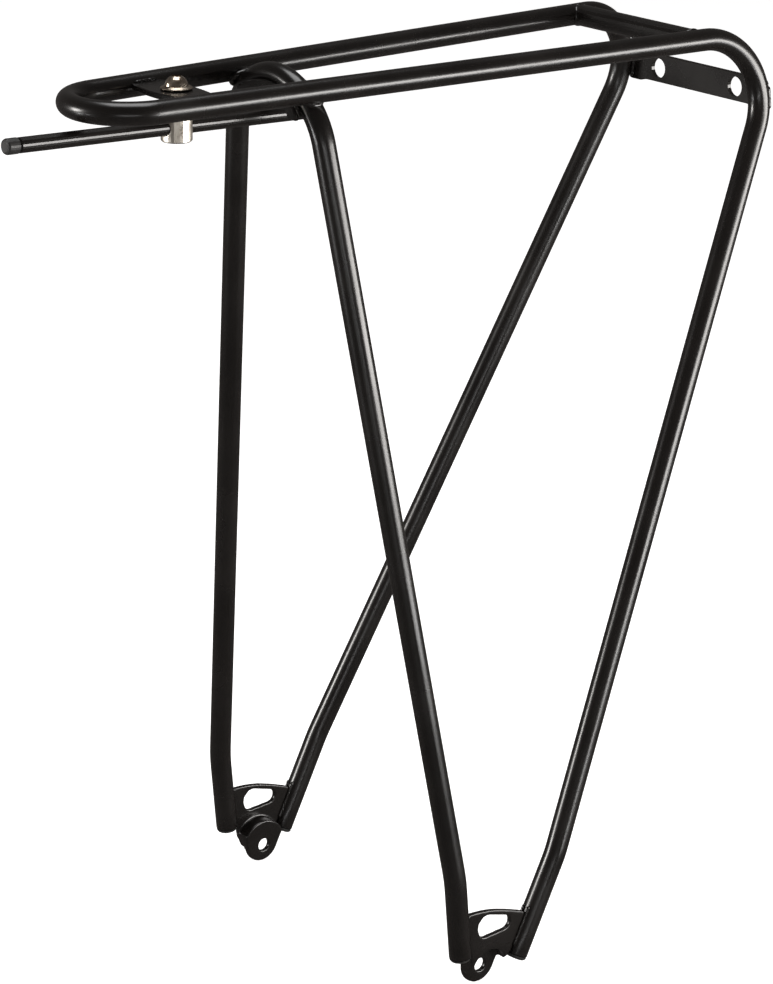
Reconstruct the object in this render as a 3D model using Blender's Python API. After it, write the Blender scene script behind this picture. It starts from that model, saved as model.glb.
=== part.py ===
"""Rear luggage rack for a bicycle.

A bent steel loop (rear legs, rails and front bow in one tube), a second bent tube that makes
the front legs and the arch under the rails, a cross tube, pressed plates, and a stay that
slides through a clamp under the front of the platform.

The frame is +X to the rear of the bicycle, +Y to its right and +Z up. The origin is midway
between the two foot eyelets. All sizes below are in millimetres; angles are in degrees.
"""

import math

import bmesh
import bpy
from mathutils import Matrix, Vector

MM = 0.001
GAP = 0.3                       # clearance between neighbouring pieces

# Tubes
TUBE_R = 5.0
TUBE_WALL = 1.2
TUBE_SIDES = 20
ARC_STEP = 8.0                  # angle between rings in a bend

# Feet: where the legs run down beside the dropouts
FOOT_Y = 86.7
FOOT_BEND_R = 60.0
REAR_LEG_END = (16.6, 2.6)      # x, z of the cut end
FRONT_LEG_END = (-16.8, 11.5)

# Platform and rear legs
PLATFORM_Z = 395.2
REAR_CORNER = (202.0, 42.4)     # x, half width where rail and leg lines meet
REAR_LEG_RAKE = 0.4695          # forward travel for each millimetre down
REAR_LEG_SPLAY = 0.1270         # outward travel for each millimetre down
REAR_BEND_R = 30.0
RAIL_TAPER = 0.0557             # half width gained for each millimetre to the rear
BOW_APEX_X = -155.8             # centreline of the front bow

# Front legs and the arch that joins them under the rails
FRONT_LEG_X = -56.0             # leg line at platform height
FRONT_LEG_Y = 25.9
FRONT_LEG_RAKE = 0.102          # rearward travel for each millimetre down
FRONT_LEG_SPLAY = 0.1758
ARCH_RISE = 2.3                 # arch centreline above the rails' centreline

# Cross tube and light plate
CROSS_X = 149.5
LIGHT_PLATE_T = 2.0
LIGHT_PLATE_Z = 367.3
LIGHT_PLATE_H = 13.2
LIGHT_PLATE_HALF_W = 45.5
LIGHT_HOLE_SPACING = 50.8
LIGHT_HOLE = (9.0, 9.4)         # width, height

# Front bracket plate, clamp and stay
BRACKET_X = -108.3
BRACKET_T = 2.5
BRACKET_TOP = 2.1               # above the rails' centreline
BRACKET_MID_LENGTH = 20.0
BRACKET_END_LENGTH = 11.0
CLAMP_X = -107.3
NUT_R = 6.6
NUT_BOTTOM = -19.4              # relative to the rails' centreline
SCREW_R = 2.5
THREAD_GAP = 0.1
HEAD_R = 5.0
HEAD_H = 4.1
SOCKET_ACROSS_FLATS = 4.0
WASHER_R = 6.8
WASHER_T = 1.3
STAY_R = 3.25
STAY_DROP = 13.5                # axis below the rails' centreline, at the clamp
STAY_TILT = 1.65                # the front end is the higher one
STAY_FRONT = -184.8
STAY_REAR = -38.0
TIP_R = 3.35
TIP_LENGTH = 6.0

# Web plate inside the arch
WEB_T = 2.0
WEB_TOP_R = 28.8                # about the arch's centre
WEB_CORNER = (22.5, -12.8)      # half width and height of the lower corners
WEB_OPENING = (17.8, -9.0)      # half width and height of the opening over the stay

# Foot plates
FOOT_PLATE_T = 2.5
LUG_Y = 80.2
LUG_R = 9.2
LUG_CENTRE = (-0.9, 1.2)        # the lug is a little forward of and above its eyelet
EYELET_R = 3.1
DISH_R = 12.4                   # outer radius of the step around the lug


# ---------------------------------------------------------------- scene and materials

def clear_scene():
    for obj in list(bpy.data.objects):
        bpy.data.objects.remove(obj, do_unlink=True)


def material(name, colour, roughness, metallic):
    mat = bpy.data.materials.new(name)
    mat.use_nodes = True
    shader = mat.node_tree.nodes["Principled BSDF"]
    shader.inputs["Base Color"].default_value = (*colour, 1.0)
    shader.inputs["Roughness"].default_value = roughness
    shader.inputs["Metallic"].default_value = metallic
    return mat


def black_paint(name):
    return material(name + "_paint", (0.012, 0.011, 0.010), 0.22, 0.0)


def bright_steel(name, colour=(0.72, 0.69, 0.63)):
    return material(name + "_metal", colour, 0.28, 1.0)


def black_plastic(name):
    return material(name + "_plastic", (0.016, 0.015, 0.015), 0.45, 0.0)


# ---------------------------------------------------------------- objects

def finish(name, bm, mat=None, parent=None, placement=None):
    """Turn a bmesh, drawn in millimetres, into a named object in metres."""
    bmesh.ops.recalc_face_normals(bm, faces=bm.faces)
    bmesh.ops.scale(bm, vec=(MM, MM, MM), verts=bm.verts)
    mesh = bpy.data.meshes.new(name)
    bm.to_mesh(mesh)
    bm.free()
    mesh.shade_smooth()
    mesh.set_sharp_from_angle(angle=math.radians(35))
    obj = bpy.data.objects.new(name, mesh)
    bpy.context.scene.collection.objects.link(obj)
    if mat:
        mesh.materials.append(mat)
    if placement:
        obj.matrix_world = placement
    if parent:
        obj.parent = parent
    return obj


def cutter(name, bm, placement=None):
    obj = finish(name, bm, placement=placement)
    obj.display_type = "WIRE"
    obj.hide_render = True
    return obj


def boolean(obj, tool, operation="DIFFERENCE"):
    mod = obj.modifiers.new(operation.lower() + "_" + tool.name, "BOOLEAN")
    mod.operation = operation
    mod.solver = "EXACT"
    mod.object = tool


def soften(obj, width, segments=1):
    """Round the long edges of a plate."""
    mod = obj.modifiers.new("soft_edges", "BEVEL")
    mod.width = width * MM
    mod.segments = segments
    mod.limit_method = "ANGLE"
    mod.angle_limit = math.radians(50)


def place(x, y, z, rotation=None):
    """A placement in metres from a position in millimetres."""
    move = Matrix.Translation(Vector((x, y, z)) * MM)
    return move @ rotation.to_4x4() if rotation else move


# ---------------------------------------------------------------- shapes

def filleted(corners, radii):
    """Points along straight runs joined by arcs of the given radii."""
    corners = [Vector(c) for c in corners]
    points = [corners[0]]
    for i, radius in enumerate(radii, start=1):
        back = (corners[i - 1] - corners[i]).normalized()
        ahead = (corners[i + 1] - corners[i]).normalized()
        turn = math.pi - back.angle(ahead)
        reach = radius * math.tan(turn / 2)
        centre = corners[i] + (back + ahead).normalized() * radius / math.cos(turn / 2)
        start = corners[i] + back * reach - centre
        end = corners[i] + ahead * reach - centre
        count = max(2, math.ceil(math.degrees(turn) / ARC_STEP))
        for k in range(count + 1):
            points.append(centre + start.slerp(end, k / count).normalized() * radius)
    points.append(corners[-1])
    return points


def ring_frames(path):
    """One (point, side, up) frame for each path point, turned as little as possible."""
    count = len(path)
    tangents = []
    for i in range(count):
        before = path[i] - path[max(i - 1, 0)]
        after = path[min(i + 1, count - 1)] - path[i]
        tangents.append((before.normalized() + after.normalized()).normalized())
    side = tangents[0].orthogonal().normalized()
    frames = []
    for i in range(count):
        side = (side - tangents[i] * side.dot(tangents[i])).normalized()
        frames.append((path[i], side, tangents[i].cross(side)))
    return frames


def skin(bm, path, radius, sides):
    """A tube surface open at both ends; returns the corners of its two end rings."""
    rings = []
    for point, side, up in ring_frames(path):
        angles = [2 * math.pi * k / sides for k in range(sides)]
        rings.append([bm.verts.new(point + (side * math.cos(a) + up * math.sin(a)) * radius)
                      for a in angles])
    for ring, following in zip(rings, rings[1:]):
        for k in range(sides):
            n = (k + 1) % sides
            bm.faces.new((ring[k], ring[n], following[n], following[k]))
    return rings[0], rings[-1]


def tube(path, radius=TUBE_R, bore=TUBE_R - TUBE_WALL):
    """A hollow tube along a path, open at its ends."""
    bm = bmesh.new()
    outer_ends = skin(bm, path, radius, TUBE_SIDES)
    inner_ends = skin(bm, path, bore, TUBE_SIDES // 2)
    for outer, inner in zip(outer_ends, inner_ends):
        # The outer ring has two edges for each edge of the inner one.
        for k in range(len(inner)):
            following = (k + 1) % len(inner)
            bm.faces.new((outer[2 * k], outer[2 * k + 1], outer[2 * following],
                          inner[following], inner[k]))
    return bm


def rod(path, radius, sides=TUBE_SIDES):
    """A solid round bar along a path, closed at its ends."""
    bm = bmesh.new()
    for ring in skin(bm, path, radius, sides):
        bm.faces.new(ring)
    return bm


def turned(profile, sides=24, closed=False):
    """A lathe shape about Z from (radius, height) points; a closed profile makes a ring."""
    bm = bmesh.new()
    rings = []
    for radius, height in profile:
        if radius == 0:
            rings.append([bm.verts.new((0, 0, height))] * sides)
            continue
        angles = [2 * math.pi * k / sides for k in range(sides)]
        rings.append([bm.verts.new((radius * math.cos(a), radius * math.sin(a), height))
                      for a in angles])
    pairs = list(zip(rings, rings[1:]))
    if closed:
        pairs.append((rings[-1], rings[0]))
    for ring, following in pairs:
        for k in range(sides):
            n = (k + 1) % sides
            corners = (ring[k], ring[n], following[n], following[k])
            bm.faces.new(list(dict.fromkeys(corners)))
    return bm


def prism(outline, low, high, axes="XYZ"):
    """An outline pulled between two depths; axes says where (u, v, depth) go."""
    bm = bmesh.new()
    order = ["XYZ".index(a) for a in axes]

    def point(u, v, depth):
        values = [0.0, 0.0, 0.0]
        for index, value in zip(order, (u, v, depth)):
            values[index] = value
        return values

    face = bm.faces.new([bm.verts.new(point(u, v, low)) for u, v in outline])
    pulled = bmesh.ops.extrude_face_region(bm, geom=[face])
    verts = [item for item in pulled["geom"] if isinstance(item, bmesh.types.BMVert)]
    bmesh.ops.translate(bm, vec=point(0, 0, high - low), verts=verts)
    return bm


def prism_ring(inner, outer, sides, low, high):
    """A thick ring about the Y axis."""
    profile = [(inner, low), (outer, low), (outer, high), (inner, high)]
    bm = turned(profile, sides, closed=True)
    bmesh.ops.rotate(bm, verts=bm.verts, matrix=Matrix.Rotation(math.radians(-90), 3, "X"))
    return bm


def arc(centre, radius, start, end, count):
    """Points on an arc, in degrees; radius may be a pair for an oval."""
    ru, rv = radius if isinstance(radius, tuple) else (radius, radius)
    angles = [math.radians(start + (end - start) * k / count) for k in range(count + 1)]
    return [(centre[0] + ru * math.cos(a), centre[1] + rv * math.sin(a)) for a in angles]


def circle(centre, radius, count=24):
    return arc(centre, radius, 0, 360, count)[:-1]


def rounded(corners, radii, count=4):
    """A flat outline whose corners are rounded by the given radii."""
    outline = []
    total = len(corners)
    for i, radius in enumerate(radii):
        here = Vector(corners[i])
        back = (Vector(corners[i - 1]) - here).normalized()
        ahead = (Vector(corners[(i + 1) % total]) - here).normalized()
        turn = math.pi - back.angle(ahead)
        if radius == 0:
            outline.append(tuple(here))
            continue
        centre = here + (back + ahead).normalized() * radius / math.cos(turn / 2)
        start = here + back * radius * math.tan(turn / 2) - centre
        end = here + ahead * radius * math.tan(turn / 2) - centre
        for k in range(count + 1):
            spoke = (start * (count - k) + end * k).normalized() * radius
            outline.append(tuple(centre + spoke))
    return outline


# ---------------------------------------------------------------- centrelines

def rail_half_width(x):
    return REAR_CORNER[1] + RAIL_TAPER * (x - REAR_CORNER[0])


def rear_leg_corners(side):
    """Foot end, foot bend and the corner of the rear bend."""
    drop = (FOOT_Y - REAR_CORNER[1]) / REAR_LEG_SPLAY
    bend_x = REAR_CORNER[0] - REAR_LEG_RAKE * drop
    return [(REAR_LEG_END[0], side * FOOT_Y, REAR_LEG_END[1]),
            (bend_x, side * FOOT_Y, PLATFORM_Z - drop),
            (REAR_CORNER[0], side * REAR_CORNER[1], PLATFORM_Z)]


def bow():
    """The front bow, one arc that meets both tapering rails."""
    lean = math.atan(RAIL_TAPER)
    # The arc's radius is the rails' half width at its centre, square to the rail.
    centre_x = (BOW_APEX_X + math.cos(lean) * rail_half_width(0)) / (1 - math.cos(lean) * RAIL_TAPER)
    radius = centre_x - BOW_APEX_X
    sweep = math.degrees(lean)
    count = math.ceil((180 - 2 * sweep) / ARC_STEP)
    return [Vector((x, y, PLATFORM_Z))
            for x, y in arc((centre_x, 0), radius, 90 + sweep, 270 - sweep, count)]


def main_loop_path():
    front = bow()
    right = filleted(rear_leg_corners(1) + [front[0]], [FOOT_BEND_R, REAR_BEND_R])
    left = filleted(rear_leg_corners(-1) + [front[-1]], [FOOT_BEND_R, REAR_BEND_R])
    return right + front[1:-1] + left[::-1]


def front_leg_point(drop, side):
    """A point on the front leg's line, a given drop below the platform."""
    return Vector((FRONT_LEG_X + FRONT_LEG_RAKE * drop,
                   side * (FRONT_LEG_Y + FRONT_LEG_SPLAY * drop),
                   PLATFORM_Z - drop))


def arch_circle():
    """Height of the arch's centre above the platform, and the arch's radius."""
    lean = math.atan(FRONT_LEG_SPLAY)
    # Half width y and drop d at the meeting point: y = R cos(lean), d = R (1 - sin(lean)) - rise.
    radius = (FRONT_LEG_Y - FRONT_LEG_SPLAY * ARCH_RISE) / (
        math.cos(lean) - FRONT_LEG_SPLAY * (1 - math.sin(lean)))
    return ARCH_RISE - radius, radius


def hoop_path():
    """Front leg, arch and front leg: the arch is one arc that meets both leg lines."""
    lean = math.atan(FRONT_LEG_SPLAY)
    centre_z, radius = arch_circle()
    sweep = 90 - math.degrees(lean)
    count = math.ceil(2 * sweep / ARC_STEP)
    arch = []
    for y, z in arc((0, centre_z), radius, 90 - sweep, 90 + sweep, count):
        arch.append(Vector((FRONT_LEG_X - FRONT_LEG_RAKE * min(z, 0), y, PLATFORM_Z + z)))

    def leg(side, top):
        foot = front_leg_point((FOOT_Y - FRONT_LEG_Y) / FRONT_LEG_SPLAY, side)
        end = (FRONT_LEG_END[0], side * FOOT_Y, FRONT_LEG_END[1])
        return filleted([end, foot, top], [FOOT_BEND_R])

    return leg(1, arch[0]) + arch[1:-1] + leg(-1, arch[-1])[::-1]


def stay_frame():
    """Placement whose Z runs forward along the stay, with its origin at the clamp."""
    forward = Vector((-math.cos(math.radians(STAY_TILT)), 0, math.sin(math.radians(STAY_TILT))))
    turn = Vector((0, 0, 1)).rotation_difference(forward).to_matrix()
    return place(CLAMP_X, 0, PLATFORM_Z - STAY_DROP, turn)


def along_stay(x):
    """Distance forward of the clamp, along the stay, for a position along X."""
    return (CLAMP_X - x) / math.cos(math.radians(STAY_TILT))


# ---------------------------------------------------------------- cutters

def loop_envelope():
    return cutter("loop_envelope", rod(main_loop_path(), TUBE_R + GAP))


def hoop_envelope():
    return cutter("hoop_envelope", rod(hoop_path(), TUBE_R + GAP))


def stay_envelope():
    start, end = along_stay(STAY_REAR + 20), along_stay(STAY_FRONT)
    path = [Vector((0, 0, start)), Vector((0, 0, end))]
    return cutter("stay_envelope", rod(path, STAY_R + GAP), placement=stay_frame())


# ---------------------------------------------------------------- tubes

def main_loop_tube():
    return finish("main_loop_tube", tube(main_loop_path()), black_paint("main_loop_tube"))


def front_hoop_tube(loop_cutter):
    """Front legs and arch; the arch is notched a little where the rails rest on it."""
    hoop = finish("front_hoop_tube", tube(hoop_path()), black_paint("front_hoop_tube"))
    boolean(hoop, loop_cutter)
    return hoop


def rear_cross_tube(loop_cutter):
    """A straight tube whose ends are coped to the rails."""
    reach = rail_half_width(CROSS_X)
    path = [Vector((CROSS_X, -reach, PLATFORM_Z)), Vector((CROSS_X, reach, PLATFORM_Z))]
    cross = finish("rear_cross_tube", tube(path), black_paint("rear_cross_tube"))
    boolean(cross, loop_cutter)
    return cross


def leg_end_plug(name, end, along):
    """A domed plug in a leg's open end; along is the leg's direction, foot to platform."""
    stem = TUBE_R - TUBE_WALL - GAP - 0.25
    rim = TUBE_R - 0.1
    profile = [(0, 6), (stem - 0.5, 6), (stem, 5.5), (stem, -GAP), (rim, -GAP), (rim, -0.7),
               (rim - 0.35, -1.35), (rim - 1.1, -1.8), (0, -2.0)]
    turn = Vector((0, 0, 1)).rotation_difference(along).to_matrix()
    return finish(name, turned(profile, sides=16), black_plastic(name),
                  placement=place(*end, turn))


def leg_end_plugs():
    paths = {"rear": main_loop_path(), "front": hoop_path()}
    for leg, path in paths.items():
        for side, (end, following) in {"right": path[:2], "left": path[:-3:-1]}.items():
            leg_end_plug(f"{leg}_leg_plug_{side}", end, following - end)


# ---------------------------------------------------------------- plates

def light_mount_plate():
    """A flat plate behind the rear bends, with two holes for a lamp or reflector."""
    half_w, half_h = LIGHT_PLATE_HALF_W, LIGHT_PLATE_H / 2
    flare = 1.0
    corners = [(-half_w, -half_h - flare), (-half_w + 8, -half_h - flare), (-half_w + 12, -half_h),
               (half_w - 12, -half_h), (half_w - 8, -half_h - flare), (half_w, -half_h - flare),
               (half_w, half_h), (-half_w, half_h)]
    outline = [(y, z + LIGHT_PLATE_Z) for y, z in rounded(corners, [2, 2, 6, 6, 2, 2, 3, 3])]
    front = light_plate_front()
    name = "light_mount_plate"
    plate = finish(name, prism(outline, front, front + LIGHT_PLATE_T, "YZX"), black_paint(name))
    soften(plate, 0.35)
    for side in (-1, 1):
        hole = circle((side * LIGHT_HOLE_SPACING / 2, LIGHT_PLATE_Z),
                      (LIGHT_HOLE[0] / 2, LIGHT_HOLE[1] / 2), 20)
        tool = prism(hole, front - 2, front + LIGHT_PLATE_T + 2, "YZX")
        boolean(plate, cutter(f"light_hole_{side}", tool))
    return plate


def light_plate_front():
    """The plane just behind the rearmost surface of the rear bends."""
    turn = math.pi / 2 + math.atan(REAR_LEG_RAKE)
    bend_start = REAR_CORNER[0] - REAR_BEND_R * math.tan(turn / 2)
    return bend_start + REAR_BEND_R + TUBE_R + GAP


def front_bracket_plate(loop_cutter):
    """The plate between the rails that carries the clamp."""
    half_mid, half_end = BRACKET_MID_LENGTH / 2, BRACKET_END_LENGTH / 2
    reach = rail_half_width(BRACKET_X)
    bulge = half_mid - half_end
    radius = (reach ** 2 + bulge ** 2) / (2 * bulge)
    half_angle = math.degrees(math.asin(reach / radius))
    rear = arc((BRACKET_X + half_mid - radius, 0), radius, -half_angle, half_angle, 10)
    front = arc((BRACKET_X - half_mid + radius, 0), radius, 180 - half_angle, 180 + half_angle, 10)
    top = PLATFORM_Z + BRACKET_TOP
    name = "front_bracket_plate"
    plate = finish(name, prism(rear + front, top - BRACKET_T, top), black_paint(name))
    soften(plate, 0.35)
    boolean(plate, loop_cutter)
    hole = prism(circle((CLAMP_X, 0), SCREW_R + GAP), top - BRACKET_T - 2, top + 2)
    boolean(plate, cutter("bracket_hole", hole))
    return plate


def arch_web_plate():
    """A crescent plate across the front of the arch, open below for the stay."""
    centre_z, radius = arch_circle()
    centre_z += PLATFORM_Z
    half_w, corner_z = WEB_CORNER
    open_w, open_z = WEB_OPENING
    corner_z += PLATFORM_Z
    open_z += PLATFORM_Z
    sweep = math.degrees(math.acos((corner_z + 2 - centre_z) / WEB_TOP_R))
    top = arc((0, centre_z), WEB_TOP_R, 90 - sweep, 90 + sweep, 24)
    lower = rounded([(-half_w, corner_z), (-open_w, corner_z), (-open_w + 3, open_z),
                     (open_w - 3, open_z), (open_w, corner_z), (half_w, corner_z)],
                    [0, 1.2, 3, 3, 1.2, 0])
    name = "arch_web_plate"
    back = FRONT_LEG_X - TUBE_R - GAP
    plate = finish(name, prism(top + lower, back - WEB_T, back, "YZX"), black_paint(name))
    soften(plate, 0.35)
    return plate


def foot_plate_outline():
    """The plate seen from the side: a web between the leg ends and a round lug below it."""
    top = [(-18.0, 30.2), (-11.3, 30.6), (-6.2, 30.3), (-1.8, 29.7), (2.7, 28.8), (10.1, 26.6),
           (17.7, 23.9)]
    right = [(26.0, 20.0), (17.0, 7.5), (11.4, 5.2)]
    lug = arc(LUG_CENTRE, LUG_R, -28, -185, 16)
    left = [(-11.4, 12.3), (-17.5, 14.2)]
    return top + right + lug + left


def foot_plate(side, loop_cutter, hoop_cutter):
    """A pressed plate between the leg ends, with its eyelet lug dished towards the dropout."""
    name = ("right" if side > 0 else "left") + "_foot_plate"
    half = FOOT_PLATE_T / 2

    def layer(outline, inner, outer):
        low, high = sorted((side * inner, side * outer))
        return prism(outline, low, high, "XZY")

    def cut(suffix, outline, inner, outer):
        boolean(plate, cutter(name + suffix, layer(outline, inner, outer)))

    plate = finish(name, layer(foot_plate_outline(), LUG_Y - half, FOOT_Y + half),
                   black_paint(name))
    # The press leaves a round wall: material goes outboard within it and inboard around it.
    cut("_pocket", circle((0, 0), DISH_R - FOOT_PLATE_T, 32), LUG_Y + half, FOOT_Y + 5)
    around = prism_ring(DISH_R, 60, 32, *sorted((side * (LUG_Y - 5), side * (FOOT_Y - half))))
    boolean(plate, cutter(name + "_relief", around))
    window = rounded([(-10.3, 30.0), (11.6, 23.6), (11.0, 18.0), (-5.6, 16.8)],
                     [5.0, 3.3, 3.2, 3.6], 5)
    cut("_window", window, FOOT_Y - 5, FOOT_Y + 5)
    # The lug's lower wall slopes from the web down to the lug.
    slope = [(side * 95.0, 13.7), (side * (FOOT_Y + half), 4.5), (side * (LUG_Y + half), -4.0),
             (side * (LUG_Y + half), -20.0), (side * 95.0, -20.0)]
    boolean(plate, cutter(name + "_slope", prism(slope, -14.0, 11.7, "YZX")))
    cut("_eyelet", circle((0, 0), EYELET_R, 20), LUG_Y - 5, LUG_Y + 5)
    boolean(plate, loop_cutter)
    boolean(plate, hoop_cutter)
    return plate


# ---------------------------------------------------------------- clamp and stay

def eye_nut(stay_cutter):
    """A round nut under the bracket; the stay runs through it and the screw presses on it."""
    top = PLATFORM_Z + BRACKET_TOP - BRACKET_T - GAP
    bottom = PLATFORM_Z + NUT_BOTTOM
    height = top - bottom
    edge = 0.5
    profile = [(0, 0), (NUT_R - edge, 0), (NUT_R, edge), (NUT_R, height - edge),
               (NUT_R - edge, height), (0, height)]
    nut = finish("eye_nut", turned(profile, sides=32), bright_steel("eye_nut"),
                 placement=place(CLAMP_X, 0, bottom))
    boolean(nut, stay_cutter)
    bore = turned([(0, 0), (SCREW_R + THREAD_GAP, 0), (SCREW_R + THREAD_GAP, 30), (0, 30)])
    boolean(nut, cutter("nut_bore", bore, placement=place(CLAMP_X, 0, PLATFORM_Z - STAY_DROP)))
    return nut


def clamp_pivot():
    """An empty on the screw's axis, at the washer's lower face."""
    pivot = bpy.data.objects.new("clamp_pivot", None)
    bpy.context.scene.collection.objects.link(pivot)
    pivot.matrix_world = place(CLAMP_X, 0, PLATFORM_Z + BRACKET_TOP + GAP)
    return pivot


def clamp_washer(pivot):
    """A washer whose rim slopes down from the screw's head."""
    inner, edge = SCREW_R + GAP, 0.3
    profile = [(inner, 0), (WASHER_R - edge, 0), (WASHER_R, edge), (WASHER_R, edge + 0.2),
               (WASHER_R - 0.2, edge + 0.4), (HEAD_R + 0.2, WASHER_T), (inner, WASHER_T)]
    return finish("clamp_washer", turned(profile, sides=32, closed=True),
                  bright_steel("clamp_washer", (0.62, 0.55, 0.46)), parent=pivot)


def clamp_screw(pivot):
    """A button-head screw with a hexagon socket."""
    seat = WASHER_T + GAP
    tip = BRACKET_TOP + GAP + STAY_DROP - STAY_R - GAP
    radius = (HEAD_R ** 2 + HEAD_H ** 2) / (2 * HEAD_H)
    span = math.degrees(math.asin(HEAD_R / radius))
    dome = arc((0, seat + HEAD_H - radius), radius, 90 - span + 1.5, 90, 7)
    profile = [(0, -tip), (SCREW_R - 0.5, -tip), (SCREW_R, 0.5 - tip), (SCREW_R, seat),
               (HEAD_R, seat)] + dome[:-1] + [(0, seat + HEAD_H)]
    screw = finish("clamp_screw", turned(profile, sides=24),
                   bright_steel("clamp_screw", (0.62, 0.55, 0.46)), parent=pivot)
    across = SOCKET_ACROSS_FLATS / math.sqrt(3)
    socket = prism(circle((0, 0), across, 6), seat + HEAD_H - 2.4, seat + HEAD_H + 2)
    tool = cutter("screw_socket", socket)
    tool.parent = pivot
    boolean(screw, tool)
    return screw


def stay_axis():
    """An empty at the clamp whose Z runs forward along the stay."""
    axis = bpy.data.objects.new("stay_axis", None)
    bpy.context.scene.collection.objects.link(axis)
    axis.matrix_world = stay_frame()
    return axis


def stay_rod(axis):
    """A round bar with chamfered ends."""
    rear, front = along_stay(STAY_REAR), along_stay(STAY_FRONT)
    edge = 0.6
    profile = [(0, rear), (STAY_R - edge, rear), (STAY_R, rear + edge), (STAY_R, front - edge),
               (STAY_R - edge, front), (0, front)]
    return finish("stay_rod", turned(profile, sides=24), black_paint("stay_rod"), parent=axis)


def stay_tip(axis):
    """A blunt cap on the stay's front end."""
    start = along_stay(STAY_FRONT) + GAP
    edge = 1.1
    profile = [(0, start), (TIP_R - 0.3, start), (TIP_R, start + 0.3),
               (TIP_R, start + TIP_LENGTH - edge), (TIP_R - 0.35, start + TIP_LENGTH - 0.35),
               (TIP_R - edge, start + TIP_LENGTH), (0, start + TIP_LENGTH)]
    return finish("stay_tip", turned(profile, sides=24), black_plastic("stay_tip"), parent=axis)


# ---------------------------------------------------------------- assembly

def build():
    clear_scene()
    loop_cutter = loop_envelope()
    hoop_cutter = hoop_envelope()
    stay_cutter = stay_envelope()
    main_loop_tube()
    front_hoop_tube(loop_cutter)
    rear_cross_tube(loop_cutter)
    leg_end_plugs()
    light_mount_plate()
    front_bracket_plate(loop_cutter)
    arch_web_plate()
    for side in (-1, 1):
        foot_plate(side, loop_cutter, hoop_cutter)
    eye_nut(stay_cutter)
    pivot = clamp_pivot()
    clamp_washer(pivot)
    clamp_screw(pivot)
    axis = stay_axis()
    stay_rod(axis)
    stay_tip(axis)


build()
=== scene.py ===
"""Looks for the bicycle rear rack: fine tubes, welds, soft-edged pressings, paint and light."""

import math

import bmesh
import bpy
from mathutils import Matrix, Vector, noise


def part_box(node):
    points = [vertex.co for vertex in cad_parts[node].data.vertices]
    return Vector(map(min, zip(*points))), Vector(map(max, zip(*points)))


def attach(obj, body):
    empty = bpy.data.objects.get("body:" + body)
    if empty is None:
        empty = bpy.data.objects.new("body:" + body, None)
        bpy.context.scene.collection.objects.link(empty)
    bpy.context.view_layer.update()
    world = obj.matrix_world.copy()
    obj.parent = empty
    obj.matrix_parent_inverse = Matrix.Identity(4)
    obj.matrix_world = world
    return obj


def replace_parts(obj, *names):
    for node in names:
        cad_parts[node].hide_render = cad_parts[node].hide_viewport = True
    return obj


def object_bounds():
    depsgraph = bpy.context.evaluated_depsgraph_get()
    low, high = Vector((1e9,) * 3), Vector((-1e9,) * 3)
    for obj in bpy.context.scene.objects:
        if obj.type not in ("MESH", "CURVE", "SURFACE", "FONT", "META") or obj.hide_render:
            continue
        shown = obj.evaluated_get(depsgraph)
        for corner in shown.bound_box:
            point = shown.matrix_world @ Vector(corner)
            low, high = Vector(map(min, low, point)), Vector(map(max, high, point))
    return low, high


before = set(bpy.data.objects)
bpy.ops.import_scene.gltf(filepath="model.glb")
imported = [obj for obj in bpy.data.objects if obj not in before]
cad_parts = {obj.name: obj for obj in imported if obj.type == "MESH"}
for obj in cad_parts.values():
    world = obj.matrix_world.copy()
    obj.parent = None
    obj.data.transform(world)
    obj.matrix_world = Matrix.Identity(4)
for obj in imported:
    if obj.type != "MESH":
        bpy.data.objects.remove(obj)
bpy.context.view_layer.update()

MM = 0.001
SIDES = ((1, "right"), (-1, "left"))    # the sign of Y on each side

# The rack's driving sizes, as in the CAD model. Lengths are in millimetres, and a rake, a splay
# or a taper is a slope.
TUBE_R = 5.0
TUBE_BORE = 3.8
FOOT_Y = 86.7
FOOT_BEND_R = 60.0
REAR_LEG_END = (16.6, 2.6)
FRONT_LEG_END = (-16.8, 11.5)
PLATFORM_Z = 395.2
REAR_CORNER = (202.0, 42.4)
REAR_LEG_RAKE = 0.4695
REAR_LEG_SPLAY = 0.1270
REAR_BEND_R = 30.0
RAIL_TAPER = 0.0557
BOW_APEX_X = -155.8
FRONT_LEG_X = -56.0
FRONT_LEG_Y = 25.9
FRONT_LEG_RAKE = 0.102
FRONT_LEG_SPLAY = 0.1758
ARCH_RISE = 2.3
CROSS_X = 149.5
BRACKET_X = -108.3
BRACKET_END_LENGTH = 11.0
BRACKET_TOP = 2.1
BRACKET_T = 2.5

# How finely the visible pieces are made
TUBE_SIDES = 48
ARC_STEP = 2.5                  # degrees of a bend between two rings of a tube
RUN_STEP = 12                   # millimetres of a straight run between two rings of a tube
BEAD_SIDES = 12
BEAD_STEP = 0.3                 # millimetres between two rings of a bead
PRESSING_VOXEL = 0.38           # millimetres
PRESSING_PASSES = 16            # rounds of smoothing

# The tubes' ends, in millimetres
RIM_ROUND = 0.35
BORE_DEPTH = 9.0

# Weld beads: the radius of each kind, in millimetres
CROSS_BEAD_R = 0.8
BRACKET_BEAD_R = 0.9
HOOP_BEAD_R = 1.35
WEB_BEAD_R = 0.95
LIGHT_BEAD_R = 1.1
FOOT_BEAD_R = 0.85

# How a bead's radius changes along it
BEAD_PITCH = 1.7                # millimetres from one ripple to the next
BEAD_RIPPLE = 0.06              # height of a ripple, as a part of the radius
MEAN_WAVE = 0.6                 # near the mean of the ripples' wave, and taken off it
BEAD_WANDER = 0.10              # most that the slow drift adds or takes, as a part of the radius
WANDER_SCALE = 0.7              # features of the drift for each millimetre
END_ROUND = 1.6                 # an open bead's ends are rounded over this many radii
END_LEAST = 0.02                # square of the smallest part of the radius, at an open bead's tip

# Sharp edges are kept where faces meet at more than these angles, in degrees
CAD_SHARP = 35
FINE_SHARP = 60

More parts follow.
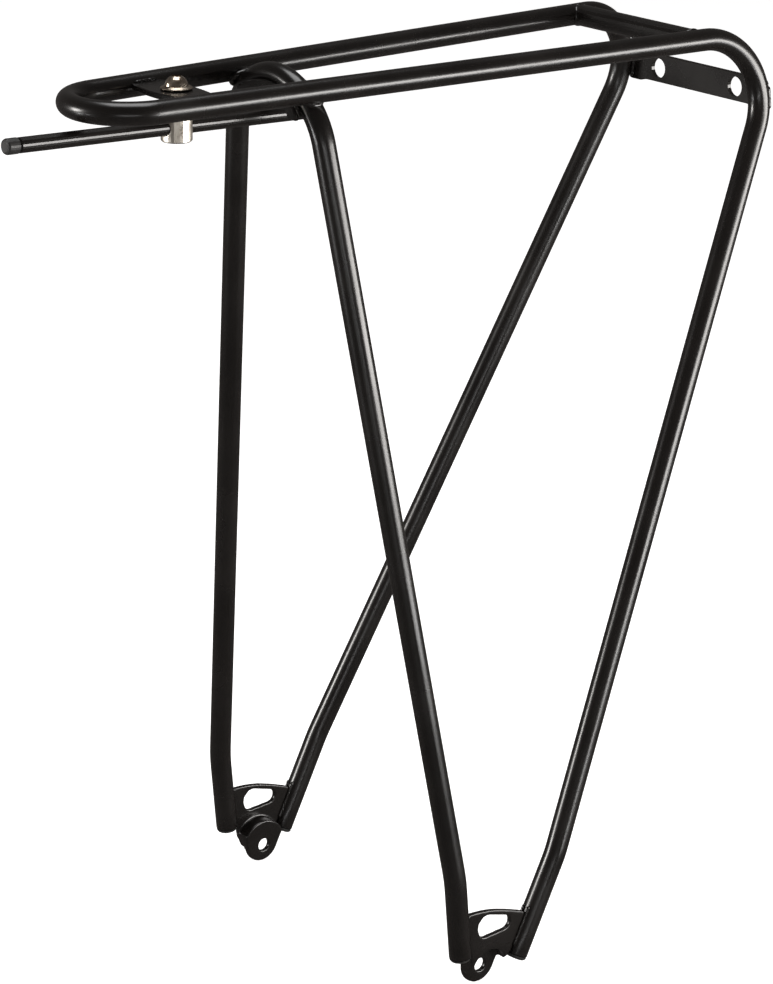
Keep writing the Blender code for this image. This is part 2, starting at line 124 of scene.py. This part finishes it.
# Floor, in metres
FLOOR_HALF_WIDTH = 9.0
FLOOR_DROP = 0.0005             # how far the floor is under the rack's lowest point

# Camera: place in metres, angles in degrees, lens in millimetres, shift as a part of the
# picture's longer side
CAMERA_AT = (-0.8959, -1.0965, 0.6813)
CAMERA_YAW = 39.43
CAMERA_PITCH = 18.69
CAMERA_ROLL = 0.98
CAMERA_LENS = 122.32
CAMERA_SHIFT = (0.0035, -0.0011)


# ---------------------------------------------------------------- centrelines

def filleted(corners, radii):
    """Points along straight runs joined by arcs of the given radii."""
    corners = [Vector(c) for c in corners]
    points = [corners[0]]
    for i, radius in enumerate(radii, start=1):
        back = (corners[i - 1] - corners[i]).normalized()
        ahead = (corners[i + 1] - corners[i]).normalized()
        turn = math.pi - back.angle(ahead)
        reach = radius * math.tan(turn / 2)
        centre = corners[i] + (back + ahead).normalized() * radius / math.cos(turn / 2)
        start = corners[i] + back * reach - centre
        end = corners[i] + ahead * reach - centre
        count = max(3, math.ceil(math.degrees(turn) / ARC_STEP))
        for k in range(count + 1):
            points.append(centre + start.slerp(end, k / count).normalized() * radius)
    points.append(corners[-1])
    return points


def arc(centre, radius, start, end, count):
    """Points at equal angles along an arc; the angles are in degrees."""
    angles = [math.radians(start + (end - start) * k / count) for k in range(count + 1)]
    return [(centre[0] + radius * math.cos(a), centre[1] + radius * math.sin(a)) for a in angles]


def rail_half_width(x):
    return REAR_CORNER[1] + RAIL_TAPER * (x - REAR_CORNER[0])


def rail_point(x, side, inward=0.0, up=0.0):
    """A point beside a rail's centreline, towards the middle and up."""
    return Vector((x, side * (rail_half_width(x) - inward), PLATFORM_Z + up))


def rear_leg_corners(side):
    drop = (FOOT_Y - REAR_CORNER[1]) / REAR_LEG_SPLAY
    bend_x = REAR_CORNER[0] - REAR_LEG_RAKE * drop
    return [(REAR_LEG_END[0], side * FOOT_Y, REAR_LEG_END[1]),
            (bend_x, side * FOOT_Y, PLATFORM_Z - drop),
            (REAR_CORNER[0], side * REAR_CORNER[1], PLATFORM_Z)]


def bow():
    lean = math.atan(RAIL_TAPER)
    centre_x = BOW_APEX_X + math.cos(lean) * rail_half_width(0)
    centre_x /= 1 - math.cos(lean) * RAIL_TAPER
    radius = centre_x - BOW_APEX_X
    sweep = math.degrees(lean)
    count = math.ceil((180 - 2 * sweep) / ARC_STEP)
    return [Vector((x, y, PLATFORM_Z))
            for x, y in arc((centre_x, 0), radius, 90 + sweep, 270 - sweep, count)]


def main_loop_path():
    front = bow()
    right = filleted(rear_leg_corners(1) + [front[0]], [FOOT_BEND_R, REAR_BEND_R])
    left = filleted(rear_leg_corners(-1) + [front[-1]], [FOOT_BEND_R, REAR_BEND_R])
    return right + front[1:-1] + left[::-1]


def arch_circle():
    """Height of the arch's centre above the platform, and the arch's radius."""
    lean = math.atan(FRONT_LEG_SPLAY)
    radius = (FRONT_LEG_Y - FRONT_LEG_SPLAY * ARCH_RISE) / (
        math.cos(lean) - FRONT_LEG_SPLAY * (1 - math.sin(lean)))
    return ARCH_RISE - radius, radius


def front_leg_point(drop, side):
    return Vector((FRONT_LEG_X + FRONT_LEG_RAKE * drop,
                   side * (FRONT_LEG_Y + FRONT_LEG_SPLAY * drop),
                   PLATFORM_Z - drop))


def hoop_path():
    centre_z, radius = arch_circle()
    sweep = 90 - math.degrees(math.atan(FRONT_LEG_SPLAY))
    count = math.ceil(2 * sweep / ARC_STEP)
    arch = [Vector((FRONT_LEG_X - FRONT_LEG_RAKE * min(z, 0), y, PLATFORM_Z + z))
            for y, z in arc((0, centre_z), radius, 90 - sweep, 90 + sweep, count)]

    def leg(side, top):
        foot = front_leg_point((FOOT_Y - FRONT_LEG_Y) / FRONT_LEG_SPLAY, side)
        end = (FRONT_LEG_END[0], side * FOOT_Y, FRONT_LEG_END[1])
        return filleted([end, foot, top], [FOOT_BEND_R])

    return leg(1, arch[0]) + arch[1:-1] + leg(-1, arch[-1])[::-1]


def split(path, step):
    """The same path with long straight runs cut into short ones."""
    points = [path[0]]
    for start, end in zip(path, path[1:]):
        count = max(1, round((end - start).length / step))
        points += [start.lerp(end, k / count) for k in range(1, count + 1)]
    return points


# ---------------------------------------------------------------- meshes

def path_rings(path, closed=False):
    """A (point, side, up) frame for each path point, turned as little as possible."""
    count = len(path)
    frames = []
    side = None
    for i in range(count):
        before = path[i] - path[i - 1] if (i or closed) else path[1] - path[0]
        after = path[(i + 1) % count] - path[i] if (i < count - 1 or closed) else before
        tangent = (before.normalized() + after.normalized()).normalized()
        if side is None:
            side = tangent.orthogonal().normalized()
        side = (side - tangent * side.dot(tangent)).normalized()
        frames.append((path[i], side, tangent.cross(side)))
    return frames


def ring_of_verts(bm, at, radius, sides):
    point, side, up = at
    angles = [2 * math.pi * k / sides for k in range(sides)]
    return [bm.verts.new(point + (side * math.cos(a) + up * math.sin(a)) * radius)
            for a in angles]


def join_rings(bm, rings, closed=False):
    pairs = list(zip(rings, rings[1:]))
    if closed:
        pairs.append((rings[-1], rings[0]))
    for ring, following in pairs:
        sides = len(ring)
        for k in range(sides):
            n = (k + 1) % sides
            bm.faces.new((ring[k], ring[n], following[n], following[k]))


def to_object(name, bm, mat, body="frame"):
    """Turn a bmesh, drawn in millimetres, into a smooth object that rides on a body."""
    bmesh.ops.recalc_face_normals(bm, faces=bm.faces)
    bmesh.ops.scale(bm, vec=(MM, MM, MM), verts=bm.verts)
    mesh = bpy.data.meshes.new(name)
    bm.to_mesh(mesh)
    bm.free()
    mesh.shade_smooth()
    mesh.set_sharp_from_angle(angle=math.radians(FINE_SHARP))
    obj = bpy.data.objects.new(name, mesh)
    bpy.context.scene.collection.objects.link(obj)
    mesh.materials.append(mat)
    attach(obj, body)
    return obj


def fine_tube(name, path, node, mat):
    """A smooth tube with rounded rims and a short bore at each end."""
    bm = bmesh.new()
    rings = path_rings(path)

    def mouth(at, inward):
        """Rings from the outer skin, over the rim and down the bore."""
        point, side, up = at
        made = []
        for degrees in (0, 30, 60, 90):
            angle = math.radians(degrees)
            radius = TUBE_R - RIM_ROUND * (1 - math.cos(angle))
            depth = RIM_ROUND * (1 - math.sin(angle))
            made.append(ring_of_verts(bm, (point + inward * depth, side, up), radius, TUBE_SIDES))
        made.append(ring_of_verts(bm, (point, side, up), TUBE_BORE, TUBE_SIDES))
        deep = (point + inward * BORE_DEPTH, side, up)
        made.append(ring_of_verts(bm, deep, TUBE_BORE, TUBE_SIDES))
        return made

    first = mouth(rings[0], (path[1] - path[0]).normalized())
    last = mouth(rings[-1], (path[-2] - path[-1]).normalized())
    middle = [ring_of_verts(bm, at, TUBE_R, TUBE_SIDES) for at in rings[1:-1]]
    join_rings(bm, first[::-1] + middle + last)
    bm.faces.new(first[-1])
    bm.faces.new(last[-1])
    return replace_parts(to_object(name, bm, mat=mat), node)


def bead(name, path, radius, mat, seed, closed=False):
    """A weld bead: ripples and a slow drift, which seed picks; an open bead has rounded ends."""
    if closed:
        path = split(path + [path[0]], BEAD_STEP)[:-1]
    else:
        path = split(path, BEAD_STEP)
    bm = bmesh.new()
    rings = []
    run = 0.0
    total = sum((b - a).length for a, b in zip(path, path[1:]))
    for i, at in enumerate(path_rings(path, closed)):
        if i:
            run += (path[i] - path[i - 1]).length
        ripple = 1 + BEAD_RIPPLE * (abs(math.sin(math.pi * run / BEAD_PITCH)) - MEAN_WAVE)
        wander = 1 + BEAD_WANDER * noise.noise(at[0] * WANDER_SCALE + Vector((seed, 0, 0)))
        size = radius * ripple * wander
        if not closed:
            reach = min(run, total - run) / (radius * END_ROUND)
            size *= math.sqrt(max(END_LEAST, 1 - max(0.0, 1 - reach) ** 2))
        rings.append(ring_of_verts(bm, at, size, BEAD_SIDES))
    join_rings(bm, rings, closed)
    if not closed:
        bm.faces.new(rings[0])
        bm.faces.new(rings[-1])
    return to_object(name, bm, mat=mat)


def soft_pressing(name, node, mat):
    """A pressed plate with the rounded edges that a thick coat of paint gives it."""
    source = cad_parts[node]
    obj = bpy.data.objects.new(name, source.data.copy())
    bpy.context.scene.collection.objects.link(obj)
    remesh = obj.modifiers.new("remesh", "REMESH")
    remesh.mode = "VOXEL"
    remesh.voxel_size = PRESSING_VOXEL * MM
    smooth = obj.modifiers.new("smooth", "SMOOTH")
    smooth.iterations = PRESSING_PASSES
    smooth.factor = 0.5
    bpy.context.view_layer.update()
    graph = bpy.context.evaluated_depsgraph_get()
    mesh = bpy.data.meshes.new_from_object(obj.evaluated_get(graph))
    obj.modifiers.clear()
    obj.data = mesh
    mesh.materials.clear()
    mesh.materials.append(mat)
    mesh.shade_smooth()
    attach(obj, "frame")
    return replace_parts(obj, node)


# ---------------------------------------------------------------- materials

def new_material(name):
    mat = bpy.data.materials.new(name)
    mat.use_nodes = True
    nodes = mat.node_tree.nodes
    return mat, nodes, mat.node_tree.links, nodes["Principled BSDF"]


def noise_node(nodes, links, scale, detail, stretch=(1, 1, 1), roughness=0.5):
    """Noise on the object's own coordinates; scale is in features per metre."""
    place = nodes.new("ShaderNodeTexCoord")
    mapping = nodes.new("ShaderNodeMapping")
    mapping.inputs["Scale"].default_value = stretch
    tex = nodes.new("ShaderNodeTexNoise")
    tex.inputs["Scale"].default_value = scale
    tex.inputs["Detail"].default_value = detail
    tex.inputs["Roughness"].default_value = roughness
    links.new(place.outputs["Object"], mapping.inputs["Vector"])
    links.new(mapping.outputs["Vector"], tex.inputs["Vector"])
    return tex


def ramp(nodes, links, source, low, high, start=0.3, end=0.7):
    """Map a noise value to the range low to high."""
    node = nodes.new("ShaderNodeMapRange")
    node.inputs["From Min"].default_value = start
    node.inputs["From Max"].default_value = end
    node.inputs["To Min"].default_value = low
    node.inputs["To Max"].default_value = high
    links.new(source, node.inputs["Value"])
    return node.outputs["Result"]


def colours(nodes, links, source, stops):
    """Map a noise value to a run of colour between two stops."""
    node = nodes.new("ShaderNodeValToRGB")
    for element, (position, colour) in zip(node.color_ramp.elements, stops):
        element.position = position
        element.color = (*colour, 1.0)
    links.new(source, node.inputs["Fac"])
    return node.outputs["Color"]


def bumps(nodes, links, shader, layers):
    """Chain bump nodes; each layer is (height, strength, distance in millimetres)."""
    normal = None
    for height, strength, distance in layers:
        node = nodes.new("ShaderNodeBump")
        node.inputs["Strength"].default_value = strength
        node.inputs["Distance"].default_value = distance * MM
        links.new(height, node.inputs["Height"])
        if normal:
            links.new(normal, node.inputs["Normal"])
        normal = node.outputs["Normal"]
    links.new(normal, shader.inputs["Normal"])


def powder_coat(name, rough=(0.22, 0.30), specular=0.5):
    """Gloss black powder coat: orange peel, a fine grain and a slight drift of colour and gloss."""
    mat, nodes, links, shader = new_material(name)
    peel = noise_node(nodes, links, scale=420, detail=2.0)
    drift = noise_node(nodes, links, scale=28, detail=3.0)
    grain = noise_node(nodes, links, scale=2600, detail=2.0)
    colour = colours(nodes, links, drift.outputs["Fac"],
                     [(0.30, (0.0042, 0.0034, 0.0030)), (0.72, (0.0080, 0.0066, 0.0057))])
    links.new(colour, shader.inputs["Base Color"])
    links.new(ramp(nodes, links, drift.outputs["Fac"], *rough), shader.inputs["Roughness"])
    shader.inputs["Specular IOR Level"].default_value = specular
    shader.inputs["Coat Weight"].default_value = 0.06
    shader.inputs["Coat Roughness"].default_value = 0.06
    bumps(nodes, links, shader, [(peel.outputs["Fac"], 0.07, 0.10),
                                 (grain.outputs["Fac"], 0.05, 0.02)])
    return mat


def plated_steel(name, dark, light, rough, turned_marks=1.0):
    """Plated or bright turned steel, with fine rings from the lathe."""
    mat, nodes, links, shader = new_material(name)
    rings = noise_node(nodes, links, scale=900, detail=3.0, stretch=(0.06, 0.06, 3.0))
    cloud = noise_node(nodes, links, scale=260, detail=4.0)
    colour = colours(nodes, links, cloud.outputs["Fac"], [(0.3, dark), (0.68, light)])
    links.new(colour, shader.inputs["Base Color"])
    shader.inputs["Metallic"].default_value = 1.0
    links.new(ramp(nodes, links, cloud.outputs["Fac"], *rough), shader.inputs["Roughness"])
    bumps(nodes, links, shader, [(rings.outputs["Fac"], 0.22 * turned_marks, 0.05),
                                 (cloud.outputs["Fac"], 0.08, 0.06)])
    return mat


def moulded_plastic(name):
    """Black plastic with a fine moulded grain."""
    mat, nodes, links, shader = new_material(name)
    grain = noise_node(nodes, links, scale=3200, detail=4.0, roughness=0.65)
    drift = noise_node(nodes, links, scale=180, detail=2.0)
    colour = colours(nodes, links, drift.outputs["Fac"],
                     [(0.3, (0.012, 0.0115, 0.011)), (0.7, (0.022, 0.021, 0.020))])
    links.new(colour, shader.inputs["Base Color"])
    links.new(ramp(nodes, links, grain.outputs["Fac"], 0.34, 0.52), shader.inputs["Roughness"])
    shader.inputs["Specular IOR Level"].default_value = 0.45
    bumps(nodes, links, shader, [(grain.outputs["Fac"], 0.25, 0.03)])
    return mat


def floor_material():
    mat, nodes, links, shader = new_material("pale_floor")
    drift = noise_node(nodes, links, scale=1.5, detail=2.0)
    colour = colours(nodes, links, drift.outputs["Fac"],
                     [(0.3, (0.86, 0.86, 0.86)), (0.7, (0.89, 0.89, 0.885))])
    links.new(colour, shader.inputs["Base Color"])
    shader.inputs["Roughness"].default_value = 0.9
    shader.inputs["Specular IOR Level"].default_value = 0.1
    shader.inputs["Emission Color"].default_value = (1.0, 1.0, 1.0, 1.0)
    shader.inputs["Emission Strength"].default_value = 0.80
    return mat


# ---------------------------------------------------------------- welds

def cross_tube_welds(mat):
    """Coped joints where the cross tube meets the rails."""
    across_r = TUBE_R + 0.1
    rail_r = TUBE_R + 0.15
    squash = 0.91               # height of the ring, as a part of the tube's
    nearest = 0.42              # how near its top and bottom come to the rail's middle, in rail_r
    for side, label in SIDES:
        path = []
        for degrees in range(0, 360, 5):
            angle = math.radians(degrees)
            x = CROSS_X + across_r * math.cos(angle)
            inward = rail_r * max(abs(math.cos(angle)), nearest)
            path.append(rail_point(x, side, inward, TUBE_R * math.sin(angle) * squash))
        bead(f"weld_cross_{label}", path, CROSS_BEAD_R, mat, seed=side, closed=True)


def bracket_welds(mat):
    """Short beads over and under the bracket plate's ends."""
    half = BRACKET_END_LENGTH / 2
    clear = 0.2                 # from the plate's face to the bead's middle
    skin = 0.35                 # sideways from the rail's skin to the bead's middle
    heights = ((BRACKET_TOP + clear, "top"), (BRACKET_TOP - BRACKET_T - clear, "under"))
    for side, label in SIDES:
        for height, where in heights:
            inward = math.sqrt(TUBE_R ** 2 - height ** 2) + skin
            path = [rail_point(BRACKET_X + dx, side, inward, height) for dx in (-half, half)]
            bead(f"weld_bracket_{where}_{label}", path, BRACKET_BEAD_R, mat, seed=height * side)


def hoop_welds(mat):
    """Rings of weld where the arch passes under and between the rails."""
    half_length = 4.1
    half_width = 3.9
    centre_z, radius = arch_circle()
    for side, label in SIDES:
        rail = Vector((0, rail_half_width(FRONT_LEG_X), -centre_z))
        out = rail.normalized()
        contact = out * (radius + (rail.length - radius) / 2)
        along = Vector((0, -out.z, out.y))
        path = []
        for degrees in range(0, 360, 10):
            angle = math.radians(degrees)
            point = contact + along * half_width * math.sin(angle)
            x = FRONT_LEG_X + half_length * math.cos(angle)
            path.append(Vector((x, side * point.y, PLATFORM_Z + centre_z + point.z)))
        bead(f"weld_hoop_{label}", path, HOOP_BEAD_R, mat, seed=3 * side, closed=True)


def web_welds(mat):
    """Beads at the web plate's shoulders, in the gap between its back face and the arch."""
    path_r = 29.1
    start, end = 34, 56         # degrees above the horizontal
    centre_z = arch_circle()[0]
    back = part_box("arch_web_plate")[1].x / MM
    x = back + 0.1
    for side, label in SIDES:
        path = [Vector((x, side * y, PLATFORM_Z + z))
                for y, z in arc((0, centre_z), path_r, start, end, 12)]
        bead(f"weld_web_{label}", path, WEB_BEAD_R, mat, seed=5 * side)


def light_plate_welds(mat):
    """Beads beside each rear bend, on the front face of the light plate."""
    length = 10.6
    count = 8
    low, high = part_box("light_mount_plate")
    x = low.x / MM - 0.9
    top = high.z / MM - 2.4
    for side, label in SIDES:
        for offset, where in ((-3.3, "inner"), (3.0, "outer")):
            path = []
            for k in range(count + 1):
                z = top - k * (length / count)
                y = REAR_CORNER[1] + REAR_LEG_SPLAY * (PLATFORM_Z - z) - 1.0
                path.append(Vector((x, side * (y + offset), z)))
            bead(f"weld_light_{where}_{label}", path, LIGHT_BEAD_R, mat,
                 seed=7 * side + offset)


def foot_welds(mat):
    """Beads where the foot plates meet the legs, on both faces."""
    skin = TUBE_R + 0.1         # from the leg's centreline to the bead's
    face_out = 1.45             # from the plate's middle to the bead's
    first = 0.08                # where a bead starts, as a part of the leg's straight end
    ends = {"rear": (main_loop_path(), -1, 0.50), "front": (hoop_path(), 1, 0.58)}
    for side, label in SIDES:
        for leg, (leg_path, towards, last) in ends.items():
            end = leg_path[0]
            run = leg_path[1] - end
            across = Vector((run.z, 0, -run.x)).normalized() * towards
            for face, where in ((1, "outer"), (-1, "inner")):
                path = []
                for part in (first, last):
                    point = end + run * part + across * skin
                    y = side * (FOOT_Y + face * face_out)
                    path.append(Vector((point.x, y, point.z)))
                bead(f"weld_foot_{leg}_{where}_{label}", path, FOOT_BEAD_R, mat,
                     seed=side * 11 + face)


# ---------------------------------------------------------------- light, floor, camera

def area_light(name, at, target, size, power, colour=(1, 1, 1)):
    """A rectangular lamp that faces its target: metres for places and sizes, watts for power."""
    data = bpy.data.lights.new(name, "AREA")
    data.shape = "RECTANGLE"
    data.size, data.size_y = size
    data.energy = power
    data.color = colour
    obj = bpy.data.objects.new(name, data)
    bpy.context.scene.collection.objects.link(obj)
    obj.location = at
    obj.rotation_mode = "QUATERNION"
    obj.rotation_quaternion = (Vector(target) - Vector(at)).to_track_quat("-Z", "Y")


def around(azimuth, distance, height):
    """A place round the rack; azimuth 0 is the camera's side and positive is to its right."""
    angle = math.radians(CAMERA_YAW - azimuth)
    return (-math.sin(angle) * distance, -math.cos(angle) * distance, height)


def add_lights():
    """A box and a low strip on each side, a strip in front, a light above and a dim warm world."""
    middle = (0.0, 0.0, 0.25)
    warm = (1.0, 0.97, 0.94)
    area_light("right_box", around(76, 1.4, 0.31), middle, size=(1.15, 0.32), power=19,
               colour=warm)
    area_light("left_box", around(-82, 1.6, 0.50), middle, size=(0.42, 0.36), power=13,
               colour=warm)
    area_light("low_right", around(66, 1.3, 0.06), middle, size=(0.9, 0.07), power=3)
    area_light("low_left", around(-70, 1.3, 0.06), middle, size=(0.5, 0.07), power=2)
    area_light("front_strip", around(4, 2.6, 0.20), (0, 0, 0.36), size=(1.6, 0.10), power=4)
    area_light("overhead", (0.2, 0.3, 2.2), (0, 0, 0), size=(1.2, 1.2), power=22)
    world = bpy.data.worlds.new("studio")
    bpy.context.scene.world = world
    world.use_nodes = True
    background = world.node_tree.nodes["Background"]
    background.inputs["Color"].default_value = (1.0, 0.93, 0.89, 1.0)
    background.inputs["Strength"].default_value = 0.10


def add_floor():
    """A pale floor just under the rack; it is left out of reflections, to keep the paint dark."""
    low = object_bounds()[0]
    bm = bmesh.new()
    bmesh.ops.create_grid(bm, x_segments=8, y_segments=8, size=FLOOR_HALF_WIDTH)
    mesh = bpy.data.meshes.new("floor")
    bm.to_mesh(mesh)
    bm.free()
    floor = bpy.data.objects.new("floor", mesh)
    bpy.context.scene.collection.objects.link(floor)
    floor.location = (0, 0, low.z - FLOOR_DROP)
    mesh.materials.append(floor_material())
    floor.visible_glossy = False


def add_camera():
    yaw, pitch, roll = (math.radians(v) for v in (CAMERA_YAW, CAMERA_PITCH, CAMERA_ROLL))
    ahead = Vector((math.sin(yaw) * math.cos(pitch), math.cos(yaw) * math.cos(pitch),
                    -math.sin(pitch)))
    level = Vector((math.cos(yaw), -math.sin(yaw), 0))
    rise = level.cross(ahead)
    right = level * math.cos(roll) + rise * math.sin(roll)
    up = rise * math.cos(roll) - level * math.sin(roll)
    data = bpy.data.cameras.new("camera")
    data.sensor_width = 36
    data.lens = CAMERA_LENS
    data.shift_x, data.shift_y = CAMERA_SHIFT
    data.clip_start = 0.05
    camera = bpy.data.objects.new("camera", data)
    bpy.context.scene.collection.objects.link(camera)
    turn = Matrix((right, up, -ahead)).transposed()
    camera.matrix_world = Matrix.Translation(CAMERA_AT) @ turn.to_4x4()
    bpy.context.scene.camera = camera


# ---------------------------------------------------------------- assembly

def dress(node, mat):
    """Give a CAD node its finished material and smooth shading."""
    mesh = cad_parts[node].data
    mesh.materials.clear()
    mesh.materials.append(mat)
    mesh.shade_smooth()
    mesh.set_sharp_from_angle(angle=math.radians(CAD_SHARP))


def build():
    paint = powder_coat("black_powder_coat")
    weld = powder_coat("painted_weld", rough=(0.18, 0.26), specular=0.6)
    nut = plated_steel("bright_nut", (0.66, 0.60, 0.51), (0.92, 0.87, 0.78), (0.26, 0.40))
    nickel = plated_steel("warm_nickel", (0.34, 0.27, 0.21), (0.68, 0.60, 0.50), (0.16, 0.30), 0.6)
    plastic = moulded_plastic("black_plastic")

    fine_tube("main_loop", split(main_loop_path(), RUN_STEP), "main_loop_tube", paint)
    fine_tube("front_hoop", split(hoop_path(), RUN_STEP), "front_hoop_tube", paint)
    soft_pressing("foot_left", "left_foot_plate", paint)
    soft_pressing("foot_right", "right_foot_plate", paint)
    for node in ("rear_cross_tube", "light_mount_plate", "front_bracket_plate",
                 "arch_web_plate", "stay_rod"):
        dress(node, paint)
    for node in ("front_leg_plug_left", "front_leg_plug_right", "rear_leg_plug_left",
                 "rear_leg_plug_right", "stay_tip"):
        dress(node, plastic)
    dress("eye_nut", nut)
    dress("clamp_screw", nickel)
    dress("clamp_washer", nickel)

    cross_tube_welds(weld)
    bracket_welds(weld)
    hoop_welds(weld)
    web_welds(weld)
    light_plate_welds(weld)
    foot_welds(weld)


build()
bpy.context.scene.view_settings.view_transform = "Standard"
add_floor()
add_lights()
add_camera()
